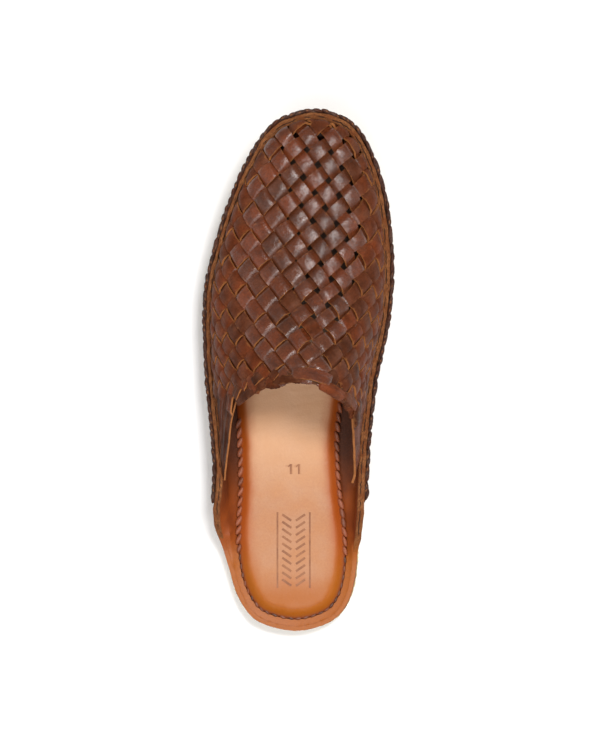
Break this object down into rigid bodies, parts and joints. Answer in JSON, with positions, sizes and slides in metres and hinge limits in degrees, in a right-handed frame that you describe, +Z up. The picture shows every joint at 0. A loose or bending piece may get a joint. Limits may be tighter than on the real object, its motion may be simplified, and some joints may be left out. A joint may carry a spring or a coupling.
{
  "type": "woven slipper",
  "caption": "Backless woven leather slipper for the left foot: hollow plaited-strip upper, upright suede band, laced edge, domed insole and flat crepe sole.",
  "frame": {"origin": "middle of the shoe's bounding box, on the floor under the flat of the sole", "axes": "+Y towards the toe, +X towards the inner (medial) side of the left foot, +Z up from the floor"},
  "size_m": [0.1102, 0.2996, 0.1027],
  "materials": {
    "outsole": "matte natural crepe",
    "midsole": "red-brown cut edge",
    "insole": "smooth pinkish tan, burnished margin",
    "side_band": "rough flesh side out",
    "vamp": "dark brown, satin",
    "edge_braid": "dark brown, satin",
    "welt_lacing": "dull brown"
  },
  "bodies": {
    "root": {"outsole": "outsole", "midsole": "midsole", "insole": "insole", "side_band": "side_band", "vamp": "vamp", "edge_braid": "edge_braid", "welt_lacing": "welt_lacing"}
  },
  "joints": []
}
